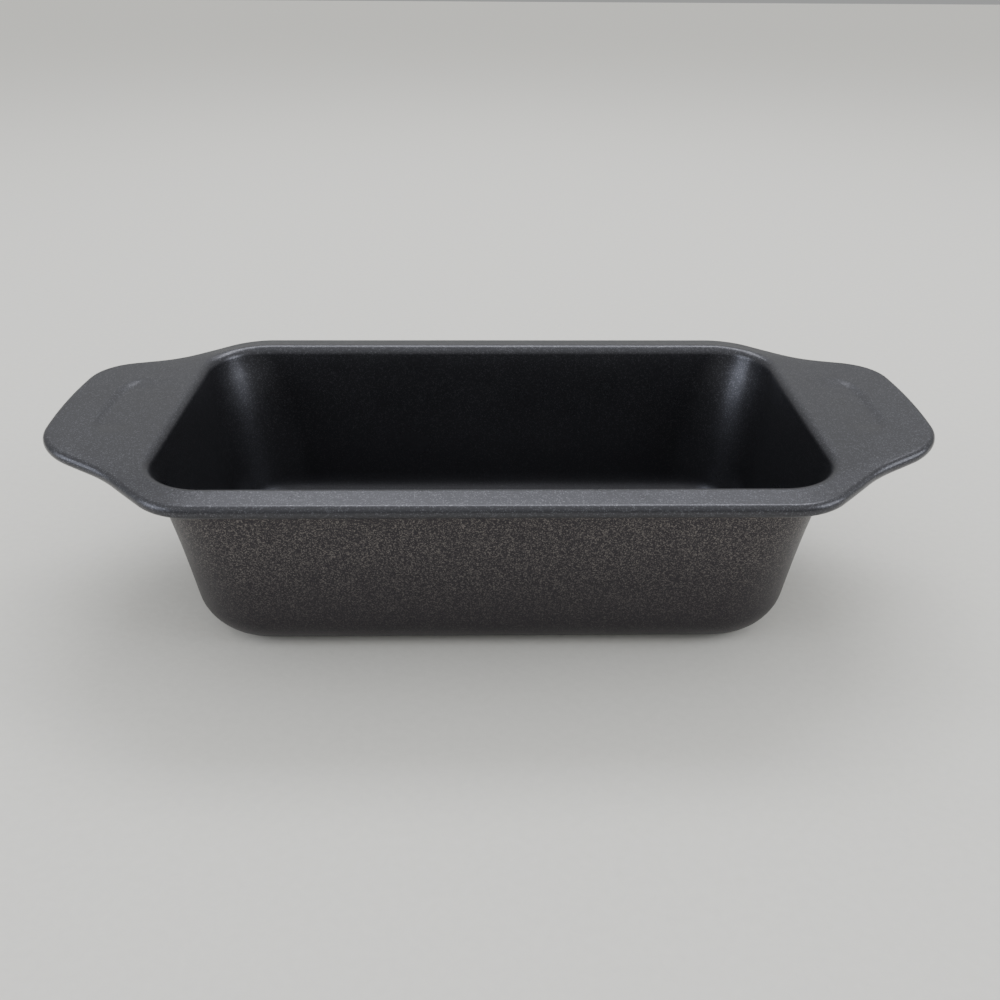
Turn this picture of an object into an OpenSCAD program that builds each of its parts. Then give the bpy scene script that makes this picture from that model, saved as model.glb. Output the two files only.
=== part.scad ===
// Loaf pan, drawn from one sheet of pre-coated steel, with a wing handle at each
// end and its whole edge folded round a wire. Millimetres. The origin is the middle
// of the base, on the surface that the pan stands on. +X runs along the pan, +Z is up.
//
// Every layer of the sheet follows one skin, the food side of the pan. A layer is
// given by the two depths below that skin between which it lies.

/* [Pan] */
// Length of the opening at the top of the walls
opening_l = 220; // [180:1:300]
// Width of the opening at the top of the walls
opening_w = 119; // [96:1:170]
// Height of the flange above the surface the pan stands on
pan_h = 68; // [45:1:90]
// Lean of the walls, in degrees away from upright
wall_draft = 8; // [4:0.5:11]
// Corner radius of the opening, seen from above
corner_r = 24; // [18:1:34]
// Radius inside the pan where the walls meet the base
base_r = 13; // [5:0.5:16]
// Radius on top where the walls turn out into the flange
lip_r = 3.5; // [2.5:0.1:6]

/* [Sheet] */
// Thickness of the steel
sheet_t = 0.8; // [0.5:0.1:1.2]
// Thickness of each non-stick coat
coat_t = 0.2; // [0.1:0.05:0.3]

/* [Rim] */
// From the opening's edge to the middle of the folded edge, along the long sides
flange_w = 10; // [8:0.5:18]
// Diameter of the wire inside the edge
wire_d = 1.7; // [1.3:0.1:3]
// Room between the wire and the sheet, all round
wire_gap = 0.2; // [0.18:0.01:0.3]

/* [Handles] */
// How far back from the end of the opening the rim starts to curve in
flare_back = 20; // [14:1:26]
// Radius of that first curve
flare_r = 23; // [15:1:30]
// Turn of the first curve, in degrees
flare_turn = 45; // [38:1:52]
// Straight run after the first curve
slope_run = 15.5; // [12:0.5:24]
// Radius of the hollow curve in the side of the handle
waist_r = 52; // [35:1:80]
// Turn of the hollow curve, in degrees
waist_turn = 16; // [10:1:22]
// Straight run after the hollow curve
neck_run = 9; // [4:0.5:14]
// Radius of the handle's rounded corner
tip_r = 22; // [14:1:24]
// Turn of the bowed end, each side of the middle, in degrees
bow_turn = 5; // [3:0.5:9]
// From the end of the opening to the line where the handle tilts up
bend_out = 5; // [4.5:0.1:9]
// Tilt of the handle above the flange, in degrees
tilt = 6; // [0:0.5:10]

/* [Thumb recess] */
// From the bend line to the shallow end of the recess
recess_out = 3; // [2:0.5:8]
// Length of the recess, along the pan
recess_l = 19.5; // [12:0.5:22]
// Width of the recess, across the handle
recess_w = 51; // [30:1:56]
// Corner radius of the recess
recess_r = 8; // [3:0.5:9]
// Depth of the recess at its outer end
recess_d = 1; // [0.4:0.1:2]

/* [Hidden] */
$fn = 96;

// Depths below the food side of the pan
full_t = sheet_t + 2 * coat_t;
steel_top = coat_t;
steel_under = coat_t + sheet_t;

// Wall section, measured outwards from the opening's edge
lip_z = pan_h - lip_r;
lip_u = lip_r / cos(wall_draft);
smallest_turn_r = 1;
base_r_limit = (corner_r - smallest_turn_r - (lip_z - full_t) * tan(wall_draft))
    / (1 / cos(wall_draft) - tan(wall_draft));
inner_base_r = min(base_r, base_r_limit);
base_z = full_t + inner_base_r;
base_u = -(lip_z - base_z) * tan(wall_draft) - inner_base_r / cos(wall_draft);
stub = 1.5;
lap = 0.05;
step = 0.02;
hole_u = lip_u + stub / 2;

// Folded edge: half its height and width, and how far its lower lip reaches back
edge_r = wire_d / 2 + wire_gap + full_t;
edge_z = pan_h - edge_r;
edge_back = 1;
arc_steps = 8;

// Outline of the rim in the first quarter, as [run or radius, turn] from the middle
// of the long side to the middle of the handle. A negative turn is to the right.
MOVES = [
    [opening_l / 2 - flare_back, 0],
    [flare_r, -flare_turn],
    [slope_run, 0],
    [waist_r, waist_turn],
    [neck_run, 0],
    [tip_r, flare_turn - waist_turn - 90 + bow_turn],
];
START = [0, opening_w / 2 + flange_w, 0];
SLOPE = 2;
LAST = len(MOVES);

// Bend line, on top of the flange, and slope of the recess against the handle
bend_x = opening_l / 2 + bend_out;
recess_slope = atan(recess_d / recess_l);
recess_back = 1;
reach = 100;

function ahead(heading) = [cos(heading), sin(heading)];
function right(heading) = [sin(heading), -cos(heading)];
function spot(at) = [at[0], at[1]];
function arc_middle(at, move) = spot(at) - sign(move[1]) * move[0] * right(at[2]);
function arc_spot(at, move, share) =
    arc_middle(at, move) + sign(move[1]) * move[0] * right(at[2] + share * move[1]);
function after(at, move) = move[1] == 0
    ? concat(spot(at) + move[0] * ahead(at[2]), at[2])
    : concat(arc_spot(at, move, 1), at[2] + move[1]);
function place(n) = n == 0 ? START : after(place(n - 1), MOVES[n - 1]);

bow_r = place(LAST)[1] / sin(bow_turn);
bow_x = place(LAST)[0] - bow_r * cos(bow_turn);

// Points of the rim's outline in the first quarter, moved outwards by out
function edge_points(n, out) = MOVES[n][1] == 0
    ? [spot(place(n)) - out * right(place(n)[2])]
    : [for (k = [0:arc_steps - 1]) let (share = k / arc_steps)
        arc_spot(place(n), MOVES[n], share) - out * right(place(n)[2] + share * MOVES[n][1])];
function bow_points(out) = [for (k = [0:arc_steps])
    [bow_x, 0] + (bow_r + out) * ahead(bow_turn * (1 - k / arc_steps))];
function quarter(out) =
    concat([for (n = [0:LAST - 1]) each edge_points(n, out)], bow_points(out));
function flipped(points, x, y) = [for (p = points) [x * p[0], y * p[1]]];
function backwards(points) = [for (k = [len(points) - 1:-1:0]) points[k]];

// Seen from the side, as [x, z]: the line at depth d below the top of the flange and
// the handle, from the bend line to far beyond the handle
function bend_point(d) = [bend_x + d * tan(tilt / 2), pan_h - d];
function far_point(d) = bend_point(d) + reach * ahead(tilt);

// The same view: the recess's floor at depth d, at share times reach from its start
function floor_point(d, share) =
    bend_point(d) + recess_out * ahead(tilt) + share * reach * ahead(tilt - recess_slope);

// ---- flat shapes ----

module wedge(from, to, size) {
    polygon([[0, 0], size * ahead(from), size * ahead((from + to) / 2) * 1.5, size * ahead(to)]);
}

module pie(r, from, to) {
    intersection() {
        circle(r);
        wedge(from, to, 2 * r);
    }
}

module ring_part(r_out, r_in, from, to) {
    difference() {
        pie(r_out, from, to);
        circle(r_in);
    }
}

module round_rectangle(size_x, size_y, r) {
    square([size_x - 2 * r, size_y], center = true);
    square([size_x, size_y - 2 * r], center = true);
    for (x = [-1, 1], y = [-1, 1])
        translate([x * (size_x / 2 - r), y * (size_y / 2 - r)]) circle(r);
}

module both_ways(direction) {
    children();
    mirror(direction) children();
}

// ---- section of the pan's wall, from the base to the flange ----

function wall_point(z_middle, u_middle, r) =
    [u_middle + r * cos(wall_draft), z_middle - r * sin(wall_draft)];

module wall_section(d0, d1) {
    translate([-corner_r, full_t - d1]) square([corner_r + base_u, d1 - d0]);
    translate([base_u, base_z]) ring_part(inner_base_r + d1, inner_base_r + d0, -90, -wall_draft);
    polygon([
        wall_point(base_z, base_u, inner_base_r + d0),
        wall_point(base_z, base_u, inner_base_r + d1),
        wall_point(lip_z, lip_u, d1 - lip_r),
        wall_point(lip_z, lip_u, d0 - lip_r),
    ]);
    translate([lip_u, lip_z]) ring_part(lip_r - d0, lip_r - d1, 90, 180 - wall_draft);
    translate([lip_u, pan_h - d1]) square([stub, d1 - d0]);
}

module along(run) {
    rotate([90, 0, 0]) translate([0, 0, -run / 2]) linear_extrude(run) children();
}

module body_layer(d0, d1) {
    flat_l = opening_l - 2 * corner_r;
    flat_w = opening_w - 2 * corner_r;
    translate([-flat_l / 2, -flat_w / 2, full_t - d1]) cube([flat_l, flat_w, d1 - d0]);
    for (turn = [0, 180]) rotate(turn) {
        translate([opening_l / 2, 0, 0]) along(flat_w) wall_section(d0, d1);
        rotate(90) translate([opening_w / 2, 0, 0]) along(flat_l) wall_section(d0, d1);
    }
    both_ways([1, 0, 0]) both_ways([0, 1, 0])
        translate([flat_l / 2, flat_w / 2, 0])
            rotate_extrude(angle = 90) translate([corner_r, 0]) wall_section(d0, d1);
}

// ---- wire, carried along the rim's outline ----

// A straight run is thinner by step and reaches lap into the curves at its ends, so
// that the pieces join without nearly matching faces.
module straight(run, thick) {
    translate([-lap, 0, 0]) rotate([90, 0, 90]) linear_extrude(run + 2 * lap)
        circle(thick - step);
}

module curve(r, turn, thick) {
    translate([0, sign(turn) * r, 0]) rotate(turn < 0 ? 90 + turn : -90)
        rotate_extrude(angle = abs(turn)) translate([r, 0]) circle(thick);
}

module past(move) {
    if (move[1] == 0)
        translate([move[0], 0, 0]) children();
    else
        translate([0, sign(move[1]) * move[0], 0]) rotate(move[1])
            translate([0, -sign(move[1]) * move[0], 0]) children();
}

// Moves first to last of the outline, each drawn from where the one before it ends
module carried(n, first, last, thick) {
    if (n >= first && MOVES[n][1] == 0) straight(MOVES[n][0], thick);
    if (n >= first && MOVES[n][1] != 0) curve(MOVES[n][0], MOVES[n][1], thick);
    if (n < last) past(MOVES[n]) carried(n + 1, first, last, thick);
}

module middle_wire(thick) {
    both_ways([0, 1, 0]) translate([0, START[1], edge_z]) {
        translate([-MOVES[0][0], 0, 0]) straight(2 * MOVES[0][0], thick);
        both_ways([1, 0, 0]) carried(0, 1, SLOPE, thick);
    }
}

module handle_wire(thick) {
    half_bow = bow_turn + atan(lap / bow_r);
    both_ways([0, 1, 0]) translate([0, START[1], edge_z]) carried(0, SLOPE, LAST - 1, thick);
    translate([bow_x, 0, edge_z]) rotate(-half_bow)
        rotate_extrude(angle = 2 * half_bow) translate([bow_r, 0]) circle(thick - step);
}

module past_bend(side) {
    translate([bend_x, 0, pan_h]) rotate([0, -tilt / 2, 0])
        translate([side > 0 ? 0 : -reach, -reach, -reach]) cube([reach, 2 * reach, 2 * reach]);
}

// The middle of the loop stays level, and its ends tilt up inside the handles
module bent_wire(thick) {
    difference() {
        middle_wire(thick);
        both_ways([1, 0, 0]) past_bend(1);
    }
    both_ways([1, 0, 0]) difference() {
        translate([bend_x, 0, pan_h]) rotate([0, -tilt, 0])
            translate([-bend_x, 0, -pan_h]) handle_wire(thick);
        past_bend(-1);
    }
}

// ---- flange with its folded edge ----

module outline(out) {
    quarter = quarter(out);
    polygon(concat(
        quarter,
        backwards(flipped(quarter, 1, -1)),
        flipped(quarter, -1, -1),
        backwards(flipped(quarter, -1, 1))
    ));
}

// A shape seen from the side, carried across the whole pan
module across() {
    rotate([90, 0, 0]) translate([0, 0, -reach]) linear_extrude(2 * reach) children();
}

module upwards() {
    linear_extrude(2 * pan_h) children();
}

// Everything between two depths below the top of the flange and the tilted handles
module bent_band(d0, d1) {
    top = [bend_point(d0), far_point(d0)];
    under = [far_point(d1), bend_point(d1)];
    across() polygon(concat(top, under, flipped(backwards(concat(top, under)), -1, 1)));
}

module rim_block(d) {
    intersection() {
        bent_band(d, 2 * edge_r - d);
        upwards() outline(edge_r - d);
    }
}

// One layer of the flange, the handles and the fold below their edge
module folded_layer(d0, d1) {
    difference() {
        rim_block(d0);
        rim_block(d1);
        intersection() {
            bent_band(edge_r, 3 * edge_r);
            upwards() outline(-edge_back);
        }
        upwards() round_rectangle(opening_l + 2 * hole_u, opening_w + 2 * hole_u, corner_r + hole_u);
    }
}

// The recess seen from above: its two outer corners are round, and its other end
// reaches a little back beyond the line where the floor comes up to the surface
module recess_outline(d) {
    from = floor_point(0, 0)[0] - recess_back;
    middle = floor_point(0, 0)[0] + recess_l - recess_r;
    side = recess_w / 2 - recess_r;
    translate([from, -side - recess_r - d]) square([middle - from, 2 * (side + recess_r + d)]);
    translate([from, -side]) square([middle + recess_r + d - from, 2 * side]);
    for (y = [-side, side]) translate([middle, y]) circle(recess_r + d);
}

// Hollow of the thumb recess, open at the top, for the layer that starts at depth d
module pocket(d) {
    intersection() {
        upwards() recess_outline(d);
        across() polygon([
            floor_point(d, -1),
            floor_point(d, 1),
            floor_point(d, 1) + [0, reach],
            floor_point(d, -1) + [0, reach],
        ]);
    }
}

// Whole rim of one layer, with the recess pressed into each handle
module rim_layer(d0, d1) {
    difference() {
        union() {
            folded_layer(d0, d1);
            both_ways([1, 0, 0]) intersection() {
                pocket(d1);
                bent_band(d0, 2 * edge_r);
            }
        }
        both_ways([1, 0, 0]) pocket(d0);
    }
}

// ---- pieces ----

// Steel sheet: base, walls, flange, handles and folded edge, all drawn from one blank
module pan_shell() {
    color("dimgray") {
        body_layer(steel_top, steel_under);
        rim_layer(steel_top, steel_under);
    }
}

// Smooth non-stick coat on the food side, the flange, the handles and round the edge
module inner_coating() {
    color("#3a3b3f") {
        body_layer(0, steel_top);
        rim_layer(0, steel_top);
    }
}

// Metallic-flecked coat on the outside, under the flange and inside the fold
module outer_coating() {
    color("#6b6a6c") {
        body_layer(steel_under, full_t);
        rim_layer(steel_under, full_t);
    }
}

// Closed loop of steel wire that the edge is folded round
module rim_wire() {
    color("silver") bent_wire(wire_d / 2);
}

pan_shell();
inner_coating();
outer_coating();
rim_wire();
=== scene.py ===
import math

import bpy
import numpy as np
from mathutils import Matrix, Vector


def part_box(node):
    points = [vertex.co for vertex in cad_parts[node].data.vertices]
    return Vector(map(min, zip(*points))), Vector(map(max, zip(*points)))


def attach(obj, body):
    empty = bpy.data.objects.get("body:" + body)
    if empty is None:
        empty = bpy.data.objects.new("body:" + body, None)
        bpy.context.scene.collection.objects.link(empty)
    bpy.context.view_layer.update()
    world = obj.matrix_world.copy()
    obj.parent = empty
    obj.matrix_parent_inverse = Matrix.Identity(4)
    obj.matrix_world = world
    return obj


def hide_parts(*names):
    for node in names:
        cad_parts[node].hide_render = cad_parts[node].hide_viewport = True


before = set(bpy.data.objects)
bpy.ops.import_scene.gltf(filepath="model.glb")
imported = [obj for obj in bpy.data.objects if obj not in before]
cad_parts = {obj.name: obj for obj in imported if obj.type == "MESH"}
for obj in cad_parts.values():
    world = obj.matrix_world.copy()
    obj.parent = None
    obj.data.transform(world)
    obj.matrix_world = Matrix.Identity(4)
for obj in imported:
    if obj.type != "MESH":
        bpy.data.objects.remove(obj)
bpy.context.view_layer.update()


# ---- Steel sheet ----
# The pan is one blank of 0.8 mm cold-rolled steel, deep drawn in a press and then
# rolled over along its whole edge. Both coats cover it. All sizes are in millimetres
# and become metres as the mesh is made.

MM = 0.001
COAT_T = 0.2
SHEET_T = 0.8
FULL_T = SHEET_T + 2 * COAT_T

OPENING = np.array([109.6, 58.9])
FLANGE_Z = 68.0
# How much higher the flange is at the lip than at the rim
CROWN = 0.8
WALL_DRAFT = math.radians(6.5)
BASE_R = 15.0
LIP_R = 3.5
LIP_U = LIP_R / math.cos(WALL_DRAFT)
LIP_Z = FLANGE_Z + CROWN - LIP_R
CORNER_R_TOP = 20.5
CORNER_R_LOW = 27.8
FILLET_STATIONS, WALL_STATIONS, LIP_STATIONS = 14, 8, 12

EDGE_R = 2.25
EDGE_Z = FLANGE_Z - EDGE_R
EDGE_ROLL = math.radians(280)
BASE_ROWS, FLANGE_ROWS, EDGE_ROWS = 5, 55, 33
RIM_START = np.array([0.0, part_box("inner_coating")[1].y / MM - EDGE_R])
# Stretches of the rim in one quarter: run or radius, turn in degrees, steps
RIM_STRETCHES = [(90, 0, 10), (23, -45, 14), (15.5, 0, 6), (52, 16, 8), (9, 0, 4), (22, -56, 22)]
BOW_TURN, BOW_STEPS = 5, 20
SHARP_FROM = math.radians(50)

RISE_FROM, RISE_RATE = 98.1, 0.0014
# Heights between which the wall starts to follow the rim's rise
RISE_Z = (46.0, 66.0)

# Thumb recess: where its ramp starts and its outer wall ends, and its other sizes.
# Its sides start at RECESS_SIDE of the half width.
RECESS_X = (116.0, 137.3)
RECESS_HALF_W = 25.5
RECESS_SIDE = 0.6
RECESS_BOW = 7.0
RECESS_WALL = 3.5
RECESS_D = 0.9


def rim_quarter():
    """One quarter of the line down the middle of the rolled edge, and its outward
    directions. A straight stretch is start + run * direction. A curved one is
    centre + radius * direction turned evenly from its first heading to its last."""
    at, heading = RIM_START, 0.0
    points, outs = [], []
    for size, turn, steps in RIM_STRETCHES:
        share = np.arange(steps) / steps
        turned = math.radians(turn)
        angle = heading + turned * share
        out = np.stack([-np.sin(angle), np.cos(angle)], 1)
        ahead = np.array([math.cos(heading), math.sin(heading)])
        if turn == 0:
            points.append(at + size * share[:, None] * ahead)
            at = at + size * ahead
        else:
            side = -math.copysign(size, turned)
            middle = at - side * out[0]
            points.append(middle + side * out)
            heading += turned
            at = middle + side * np.array([-math.sin(heading), math.cos(heading)])
        outs.append(out)
    radius = at[1] / math.sin(math.radians(BOW_TURN))
    angle = math.radians(BOW_TURN) * (1 - np.arange(BOW_STEPS + 1) / BOW_STEPS)
    out = np.stack([np.cos(angle), np.sin(angle)], 1)
    points.append(np.array([at[0] - radius * out[0, 0], 0]) + radius * out)
    outs.append(out)
    return np.concatenate(points), np.concatenate(outs)


def all_round(quarter):
    """Carries the vectors of one quarter round the pan: the quarter, its mirror image
    across the length, both mirrored, and its mirror image across the width."""
    back = quarter[::-1]
    return np.concatenate(
        [quarter[:-1], (back * (1, -1))[:-1], -quarter[:-1], (back * (-1, 1))[:-1]]
    )


def opening_quarter():
    """For each point of the rim's quarter, where it starts on the rounded rectangle of
    the opening: the share of the way to the corner's centre, and the outward
    direction, which turns evenly along the flare and the neck."""
    long_side = RIM_STRETCHES[0][2]
    corner = sum(steps for _, _, steps in RIM_STRETCHES[1:5])
    steps = np.linalg.norm(np.diff(rim_quarter()[0], axis=0), axis=1)
    along = np.concatenate([[0], np.cumsum(steps)])
    a, b, c = along[long_side], along[long_side + corner], along[-1]
    core = np.stack([np.clip(along / a, 0, 1), np.clip((c - along) / (c - b), 0, 1)], 1)
    angle = np.clip((along - a) / (b - a), 0, 1) * math.pi / 2
    return core, np.stack([np.sin(angle), np.cos(angle)], 1)


RIM, RIM_OUT = (all_round(v) for v in rim_quarter())
CORE, WALL_OUT = (all_round(v) for v in opening_quarter())


def rise(x):
    """Height that the rim gains: the square of the distance beyond RISE_FROM."""
    return RISE_RATE * np.clip(np.abs(x) - RISE_FROM, 0, None) ** 2


def smooth(low, high, value):
    """Goes from 0 at low to 1 at high along 3t^2 - 2t^3."""
    t = np.clip((value - low) / (high - low), 0, 1)
    return t * t * (3 - 2 * t)


def recess(x, y):
    """Depth of the thumb recess: a ramp that deepens outwards, times a smooth step up
    to its bowed outer wall, times a softer one towards each side."""
    share = np.clip(np.abs(y) / RECESS_HALF_W, 0, 1)
    end = RECESS_X[1] - RECESS_BOW * share**4
    ramp = smooth(*RECESS_X, np.abs(x))
    wall = smooth(0, RECESS_WALL, end - np.abs(x))
    return RECESS_D * ramp * wall * smooth(1, RECESS_SIDE, share)


def between(count):
    """Evenly spaced shares between 0 and 1, both ends left out."""
    return np.arange(1, count + 1) / (count + 1)


def section():
    """Stations up the inside of the wall, as columns: offset outwards from the opening
    line, height, the direction away from the food (out, up) and the corner's radius.
    A fillet arc, a straight draft and the lip's arc, each with evenly spaced steps. On
    the draft the corner's radius goes from low to top with the cube of the share."""
    base_z = FULL_T + BASE_R
    base_u = -(LIP_Z - base_z) * math.tan(WALL_DRAFT) - BASE_R / math.cos(WALL_DRAFT)
    turn = np.linspace(0, math.pi / 2 - WALL_DRAFT, FILLET_STATIONS)
    out, up = np.sin(turn), -np.cos(turn)
    fillet = np.stack([base_u + BASE_R * out, base_z + BASE_R * up, out, up], 1)
    turn = np.linspace(math.pi - WALL_DRAFT, math.pi / 2, LIP_STATIONS)
    out, up = np.cos(turn), np.sin(turn)
    lip = np.stack([LIP_U + LIP_R * out, LIP_Z + LIP_R * up, -out, -up], 1)
    share = between(WALL_STATIONS)[:, None]
    wall = fillet[-1] + share * (lip[0] - fillet[-1])
    radius = np.concatenate([
        CORNER_R_LOW + fillet[:, 0] - fillet[-1, 0],
        CORNER_R_LOW + share[:, 0] ** 3 * (CORNER_R_TOP - CORNER_R_LOW),
        CORNER_R_TOP + lip[:, 0] - lip[0, 0],
    ])
    return np.column_stack([np.concatenate([fillet, wall, lip]), radius])


def skin(depth):
    """Grid of points at a depth below the food side, row by row from the base out to
    the end of the rolled edge. On the wall a point is core + (radius + depth * out) *
    direction. On the flange it slides from the lip to the rim and comes down by the
    crown. On the rolled edge it turns round the rim's line at EDGE_R - depth."""
    u, z, out, up, radius = (v[:, None] for v in section().T)
    reach = OPENING + u[..., None] - radius[..., None]
    wall_xy = CORE * reach + (radius + depth * out)[..., None] * WALL_OUT
    wall_z = np.broadcast_to(z + depth * up, wall_xy.shape[:2])
    base_xy = wall_xy[0] * between(BASE_ROWS)[:, None, None]
    base_z = np.full(base_xy.shape[:2], wall_z[0, 0])
    share = between(FLANGE_ROWS)[:, None, None]
    flange_xy = wall_xy[-1] + share * (RIM - wall_xy[-1])
    flange_z = FLANGE_Z - depth + CROWN * (1 - share[..., 0]) * np.ones(len(RIM))
    flange_z = flange_z - recess(flange_xy[..., 0], flange_xy[..., 1])
    turn = math.pi / 2 - np.linspace(0, EDGE_ROLL, EDGE_ROWS)[:, None, None]
    edge_xy = RIM + (EDGE_R - depth) * np.cos(turn) * RIM_OUT
    edge_z = EDGE_Z + (EDGE_R - depth) * np.sin(turn[..., 0]) * np.ones(len(RIM))
    xy = np.concatenate([base_xy, wall_xy, flange_xy, edge_xy])
    z = np.concatenate([base_z, wall_z, flange_z, edge_z])
    lifted = np.concatenate([
        np.zeros_like(base_z), smooth(*RISE_Z, wall_z),
        np.ones_like(flange_z), np.ones_like(edge_z),
    ])
    return np.concatenate([xy, (z + lifted * rise(xy[..., 0]))[..., None]], 2)


def piece(name, points, faces, material):
    """An object at the origin with its place in its mesh, given in millimetres."""
    mesh = bpy.data.meshes.new(name)
    mesh.from_pydata((points * MM).tolist(), [], faces)
    mesh.polygons.foreach_set("use_smooth", np.ones(len(mesh.polygons), bool))
    mesh.set_sharp_from_angle(angle=SHARP_FROM)
    mesh.materials.append(material)
    made = bpy.data.objects.new(name, mesh)
    bpy.context.scene.collection.objects.link(made)
    return made


def rings(count, per_ring, first=0):
    """Quads between rings of points that follow one another: each joins a point, the
    next one round, and the same two on the ring after."""
    index = first + np.arange(count * per_ring).reshape(count, per_ring)
    turned = np.roll(index, -1, 1)
    quads = np.stack([index[:-1], turned[:-1], turned[1:], index[1:]], -1)
    return quads.reshape(-1, 4).tolist()


def layer(name, depth_a, depth_b, material):
    """Closed solid between two depths below the food side: up one surface from the
    middle of the base, over the cut at the end of the rolled edge, and back down."""
    near, far = skin(depth_a), skin(depth_b)
    rows = np.concatenate([near, far[::-1]])
    per_ring = rows.shape[1]
    last = rows.shape[0] * per_ring + 1
    points = np.concatenate([
        [[0, 0, near[0, 0, 2]]], rows.reshape(-1, 3), [[0, 0, far[0, 0, 2]]]
    ])
    ring = np.arange(per_ring)
    cap_a = np.stack([ring * 0, (ring + 1) % per_ring + 1, ring + 1], 1)
    top = last - per_ring
    cap_b = np.stack([ring * 0 + last, top + ring, top + (ring + 1) % per_ring], 1)
    faces = rings(rows.shape[0], per_ring, 1) + cap_a.tolist() + cap_b.tolist()
    return piece(name, points, faces, material)


def paint(code):
    """Linear colour of an sRGB hex code."""
    srgb = np.array([int(code[i:i + 2], 16) / 255 for i in (1, 3, 5)])
    linear = np.where(srgb <= 0.04045, srgb / 12.92, ((srgb + 0.055) / 1.055) ** 2.4)
    return (*linear.tolist(), 1.0)


def add_node(tree, kind, sockets=None, **settings):
    """Adds a node. Each socket, by name or place, gets a value or an output's link."""
    node = tree.nodes.new(kind)
    for name, value in settings.items():
        setattr(node, name, value)
    for socket, value in (sockets or {}).items():
        if isinstance(value, bpy.types.NodeSocket):
            tree.links.new(value, node.inputs[socket])
        else:
            node.inputs[socket].default_value = value
    return node


def blank_material(name):
    """A material with an empty node tree, and the object coordinates in metres."""
    material = bpy.data.materials.new(name)
    material.use_nodes = True
    material.node_tree.nodes.clear()
    place = add_node(material.node_tree, "ShaderNodeTexCoord").outputs["Object"]
    return material, material.node_tree, place


LINE_PITCH, LINE_LENGTH = 0.4, 25.0


def cold_rolled_steel():
    """Cold-rolled sheet: grey metal with faint rolling lines 0.4 mm apart along the
    pan, which spread its reflections a little across them."""
    material, tree, place = blank_material("Cold rolled steel")
    across = 1 / (LINE_PITCH * MM)
    stretched = add_node(tree, "ShaderNodeMapping", {
        "Vector": place, "Scale": (1 / (LINE_LENGTH * MM), across, across)})
    lines = add_node(tree, "ShaderNodeTexNoise", {
        "Vector": stretched.outputs["Vector"], "Scale": 1.0, "Detail": 3.0})
    tone = add_node(tree, "ShaderNodeMix", {
        0: lines.outputs["Fac"], 6: paint("#7e8083"), 7: paint("#a2a4a7")}, data_type="RGBA")
    bump = add_node(tree, "ShaderNodeBump", {
        "Height": lines.outputs["Fac"], "Strength": 0.15, "Distance": 0.00005})
    shader = add_node(tree, "ShaderNodeBsdfPrincipled", {
        "Base Color": tone.outputs[2], "Metallic": 1.0, "Roughness": 0.34,
        "Normal": bump.outputs["Normal"]})
    add_node(tree, "ShaderNodeOutputMaterial", {"Surface": shader.outputs["BSDF"]})
    return material


sheet = layer("pan_sheet", COAT_T, COAT_T + SHEET_T, cold_rolled_steel())
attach(sheet, "root")
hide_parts("pan_shell")


# ---- Rim wire ----
# A closed loop of plain drawn steel wire, 1.7 mm thick. The edge of the sheet is
# rolled round it, which makes the rim stiff enough to carry a full pan.

WIRE_R = 0.85
WIRE_STEPS = 16
DIE_MARKS_PER_M = 900.0


def drawn_steel():
    """Drawn wire: bright grey metal with a soft sheen from the die."""
    material, tree, place = blank_material("Drawn steel wire")
    marks_and_painted_shade = add_node(tree, "ShaderNodeTexNoise", {
        "Vector": place, "Scale": DIE_MARKS_PER_M, "Detail": 2.0})
    tone = add_node(tree, "ShaderNodeMix", {
        0: marks_and_painted_shade.outputs["Fac"], 6: paint("#8b8d90"), 7: paint("#b4b6b9")}, data_type="RGBA")
    shader = add_node(tree, "ShaderNodeBsdfPrincipled", {
        "Base Color": tone.outputs[2], "Metallic": 1.0, "Roughness": 0.28})
    add_node(tree, "ShaderNodeOutputMaterial", {"Surface": shader.outputs["BSDF"]})
    return material


def wire_loop(name, material):
    """Tube round the rim's line: a point is rim + radius * (cosine * out, sine * up)."""
    turn = np.linspace(0, -2 * math.pi, WIRE_STEPS + 1)[:, None, None]
    xy = RIM + WIRE_R * np.cos(turn) * RIM_OUT
    z = EDGE_Z + WIRE_R * np.sin(turn[..., 0]) + rise(RIM[:, 0])
    points = np.concatenate([xy, z[..., None]], 2)[:-1].reshape(-1, 3)
    faces = np.array(rings(WIRE_STEPS + 1, len(RIM))) % len(points)
    return piece(name, points, faces.tolist(), material)


wire = wire_loop("rim_wire_loop", drawn_steel())
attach(wire, "root")
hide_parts("rim_wire")


# ---- Outside coat ----
# Non-stick coat on the outside of the walls, the base and the underside of the
# flange: a dark resin with metal flakes, rolled on to the blank before pressing. It
# gives a satin surface with a fine, slightly warm fleck.

OUTSIDE_DARK, OUTSIDE_LIGHT, OUTSIDE_FLAKE = "#302e32", "#434043", "#77726f"
OUTSIDE_GRAIN, OUTSIDE_FLAKE_SIZE, OUTSIDE_FLAKE_SHARE = 0.5, 0.3, 0.4
OUTSIDE_ROUGH, OUTSIDE_PEEL = 0.42, 0.02
# Painted shade on the flakes: they are dimmed towards the base, where less overhead light would
# catch them.
# Heights in mm between which they come up to full strength, and what is left of them below
FLAKE_PAINTED_SHADE_Z = (12.0, 45.0)
FLAKE_LEFT_IN_PAINTED_SHADE = 0.3
PATCHES_PER_M = 60.0
PATCH_ROUGH = 0.03


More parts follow.
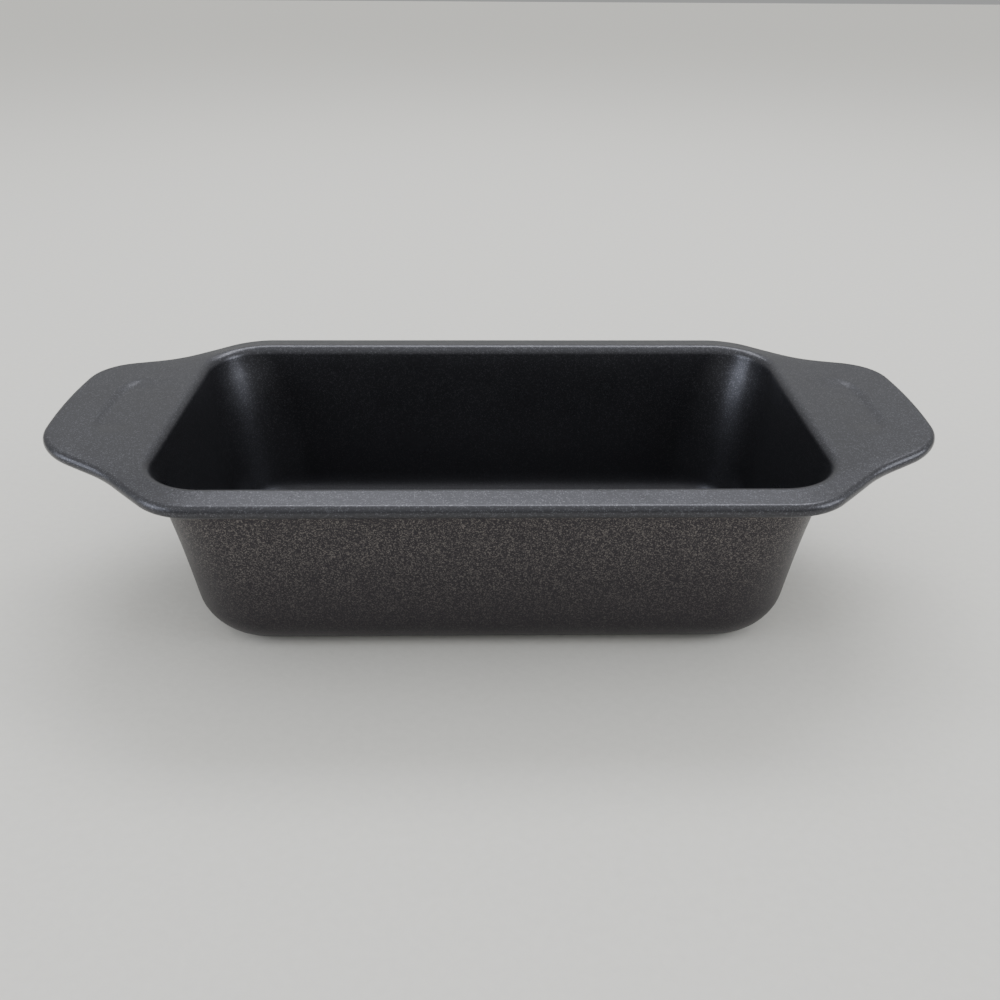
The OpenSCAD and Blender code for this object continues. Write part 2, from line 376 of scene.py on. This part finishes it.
def flaked_coat(name, dark, light, flake, grain, flake_size, flake_share, rough, peel):
    """Satin non-stick coat: dark resin clouded by its grain, single flakes that are
    the brightest cells of a cell pattern, dimmed towards the base by painted shade, broad
    patches of slightly different sheen, and a faint orange peel. Grain, flake and peel sizes
    are in millimetres, with flakes much coarser than real ones so that they show."""
    material, tree, place = blank_material(name)
    cloud = add_node(tree, "ShaderNodeTexNoise", {
        "Vector": place, "Scale": 1 / (grain * MM), "Detail": 3.0, "Roughness": 0.6})
    resin = add_node(tree, "ShaderNodeMix", {
        0: cloud.outputs["Fac"], 6: paint(dark), 7: paint(light)}, data_type="RGBA")
    cells = add_node(tree, "ShaderNodeTexVoronoi", {
        "Vector": place, "Scale": 1 / (flake_size * MM)})
    chance = add_node(tree, "ShaderNodeSeparateColor", {"Color": cells.outputs["Color"]})
    shown = add_node(tree, "ShaderNodeMapRange", {
        "Value": chance.outputs["Red"], "From Min": 1 - flake_share, "From Max": 1.0})
    height = add_node(tree, "ShaderNodeSeparateXYZ", {"Vector": place})
    # Painted shade: the flakes' glint is made weaker low on the pan, where less light reaches
    # them
    marks_and_painted_shade = add_node(tree, "ShaderNodeMapRange", {
        "Value": height.outputs["Z"], "From Min": FLAKE_PAINTED_SHADE_Z[0] * MM, "From Max": FLAKE_PAINTED_SHADE_Z[1] * MM,
        "To Min": FLAKE_LEFT_IN_PAINTED_SHADE, "To Max": 1.0})
    kept = add_node(tree, "ShaderNodeMath", {
        0: shown.outputs["Result"], 1: marks_and_painted_shade.outputs["Result"]}, operation="MULTIPLY")
    colour = add_node(tree, "ShaderNodeMix", {
        0: kept.outputs["Value"], 6: resin.outputs[2], 7: paint(flake)}, data_type="RGBA")
    patches = add_node(tree, "ShaderNodeTexNoise", {
        "Vector": place, "Scale": PATCHES_PER_M, "Detail": 2.0})
    sheen = add_node(tree, "ShaderNodeMapRange", {
        "Value": patches.outputs["Fac"], "From Min": 0.3, "From Max": 0.7,
        "To Min": rough - PATCH_ROUGH, "To Max": rough + PATCH_ROUGH})
    bump = add_node(tree, "ShaderNodeBump", {
        "Height": cloud.outputs["Fac"], "Strength": 1.0, "Distance": peel * MM})
    shader = add_node(tree, "ShaderNodeBsdfPrincipled", {
        "Base Color": colour.outputs[2], "Metallic": 0.8, "Roughness": sheen.outputs["Result"],
        "IOR": 1.4, "Normal": bump.outputs["Normal"]})
    add_node(tree, "ShaderNodeOutputMaterial", {"Surface": shader.outputs["BSDF"]})
    return material


outside = layer("outside_coat", COAT_T + SHEET_T, FULL_T, flaked_coat(
    "Flaked non-stick coat", OUTSIDE_DARK, OUTSIDE_LIGHT, OUTSIDE_FLAKE,
    OUTSIDE_GRAIN, OUTSIDE_FLAKE_SIZE, OUTSIDE_FLAKE_SHARE, OUTSIDE_ROUGH, OUTSIDE_PEEL))
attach(outside, "root")
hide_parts("outer_coating")


# ---- Food-side coat ----
# Smoother non-stick coat over the whole food side, the flange and the handles, and
# round the outside of the rolled edge. Its flakes are fewer, darker and cooler.

FOOD_DARK, FOOD_LIGHT, FOOD_FLAKE = "#3a3a3d", "#47474b", "#606065"
FOOD_GRAIN, FOOD_FLAKE_SIZE, FOOD_FLAKE_SHARE = 0.4, 0.3, 0.25
FOOD_ROUGH, FOOD_PEEL = 0.3, 0.012

food_side = layer("food_side_coat", 0.0, COAT_T, flaked_coat(
    "Satin non-stick coat", FOOD_DARK, FOOD_LIGHT, FOOD_FLAKE,
    FOOD_GRAIN, FOOD_FLAKE_SIZE, FOOD_FLAKE_SHARE, FOOD_ROUGH, FOOD_PEEL))
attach(food_side, "root")
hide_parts("inner_coating")


# ---- Floor ----
# Pale, matt tabletop with a very faint mottle. Not part of the pan.

FLOOR_SIZE = 8.0
MOTTLES_PER_M = 350.0


def floor_paint():
    """Matt off-white: two near tones mottled 3 mm apart, and a slight grain."""
    material, tree, place = blank_material("Pale matt floor")
    mottle = add_node(tree, "ShaderNodeTexNoise", {
        "Vector": place, "Scale": MOTTLES_PER_M, "Detail": 3.0})
    tone = add_node(tree, "ShaderNodeMix", {
        0: mottle.outputs["Fac"], 6: paint("#d9d7d0"), 7: paint("#e3e1da")}, data_type="RGBA")
    bump = add_node(tree, "ShaderNodeBump", {
        "Height": mottle.outputs["Fac"], "Strength": 0.3, "Distance": 0.0003})
    shader = add_node(tree, "ShaderNodeBsdfPrincipled", {
        "Base Color": tone.outputs[2], "Roughness": 0.7, "Normal": bump.outputs["Normal"]})
    add_node(tree, "ShaderNodeOutputMaterial", {"Surface": shader.outputs["BSDF"]})
    return material


half = FLOOR_SIZE / 2
floor_mesh = bpy.data.meshes.new("floor")
floor_mesh.from_pydata(
    [(-half, -half, 0), (half, -half, 0), (half, half, 0), (-half, half, 0)], [], [(0, 1, 2, 3)])
floor_mesh.materials.append(floor_paint())
floor = bpy.data.objects.new("floor", floor_mesh)
bpy.context.scene.collection.objects.link(floor)


# ---- Light ----
# A pale room that is brighter overhead, a long soft panel above the pan and behind
# it, and a smaller, lower one at each side.

SKY_LOW, SKY_TOP = 0.5, 1.75
# A panel whose way to the pan has less than this share across the pan is squared to
# the pan's width, and any other is kept level
FACING = 0.3


def pale_room():
    """World whose strength grows evenly with the sine of the height in the sky."""
    world = bpy.data.worlds.new("Pale room")
    world.use_nodes = True
    tree = world.node_tree
    tree.nodes.clear()
    toward = add_node(tree, "ShaderNodeTexCoord").outputs["Generated"]
    height = add_node(tree, "ShaderNodeSeparateXYZ", {"Vector": toward})
    strength = add_node(tree, "ShaderNodeMapRange", {
        "Value": height.outputs["Z"], "From Min": 0.0, "From Max": 1.0,
        "To Min": SKY_LOW, "To Max": SKY_TOP})
    sky = add_node(tree, "ShaderNodeBackground", {
        "Color": paint("#dcdddd"), "Strength": strength.outputs["Result"]})
    add_node(tree, "ShaderNodeOutputWorld", {"Surface": sky.outputs["Background"]})
    return world


bpy.context.scene.world = pale_room()


def soft_panel(name, place, aim, size, watts, colour):
    """Rectangular area light that shines from one point towards another, in metres."""
    lamp = bpy.data.lights.new(name, "AREA")
    lamp.shape = "RECTANGLE"
    lamp.size, lamp.size_y = size
    lamp.energy = watts
    lamp.color = paint(colour)[:3]
    made = bpy.data.objects.new(name, lamp)
    back = np.array(place, float) - aim
    back /= np.linalg.norm(back)
    guide = (0.0, 1.0, 0.0) if abs(back[1]) < FACING else (0.0, 0.0, 1.0)
    right = np.cross(guide, back)
    right /= np.linalg.norm(right)
    turn = np.column_stack([right, np.cross(back, right), back])
    made.matrix_world = Matrix.Translation(place) @ Matrix(turn.tolist()).to_4x4()
    bpy.context.scene.collection.objects.link(made)


soft_panel("overhead_panel", (0.1, 0.7, 1.2), (0, 0, 0), (1.2, 0.4), 10, "#f8faff")
soft_panel("left_panel", (-1.0, -0.35, 0.4), (0, 0, 0.03), (0.6, 0.6), 4, "#eef4ff")
soft_panel("right_panel", (1.1, -0.3, 0.55), (0, 0, 0.03), (0.6, 0.6), 5, "#f4f8ff")


# ---- Camera ----
# In front of the pan and above it, looking down by about 29 degrees.

CAMERA_AT = (-0.0032, -0.3285, 0.2150)
PITCH, ROLL, YAW = math.radians(29.33), math.radians(0.41), math.radians(1.13)

aim = np.array([[1, 0, 0], [0, -math.sin(PITCH), -math.cos(PITCH)],
                [0, math.cos(PITCH), -math.sin(PITCH)]])
rolled = np.array([[math.cos(ROLL), -math.sin(ROLL), 0],
                   [math.sin(ROLL), math.cos(ROLL), 0], [0, 0, 1]])
turned = np.array([[math.cos(YAW), -math.sin(YAW), 0],
                   [math.sin(YAW), math.cos(YAW), 0], [0, 0, 1]])
axes = (rolled @ aim @ turned) * np.array([[1], [-1], [-1]])

lens = bpy.data.cameras.new("camera")
lens.sensor_width = 36
lens.lens = 36
lens.clip_start = 0.01
camera = bpy.data.objects.new("camera", lens)
camera.matrix_world = Matrix.Translation(CAMERA_AT) @ Matrix(axes.T.tolist()).to_4x4()
bpy.context.scene.collection.objects.link(camera)
bpy.context.scene.camera = camera
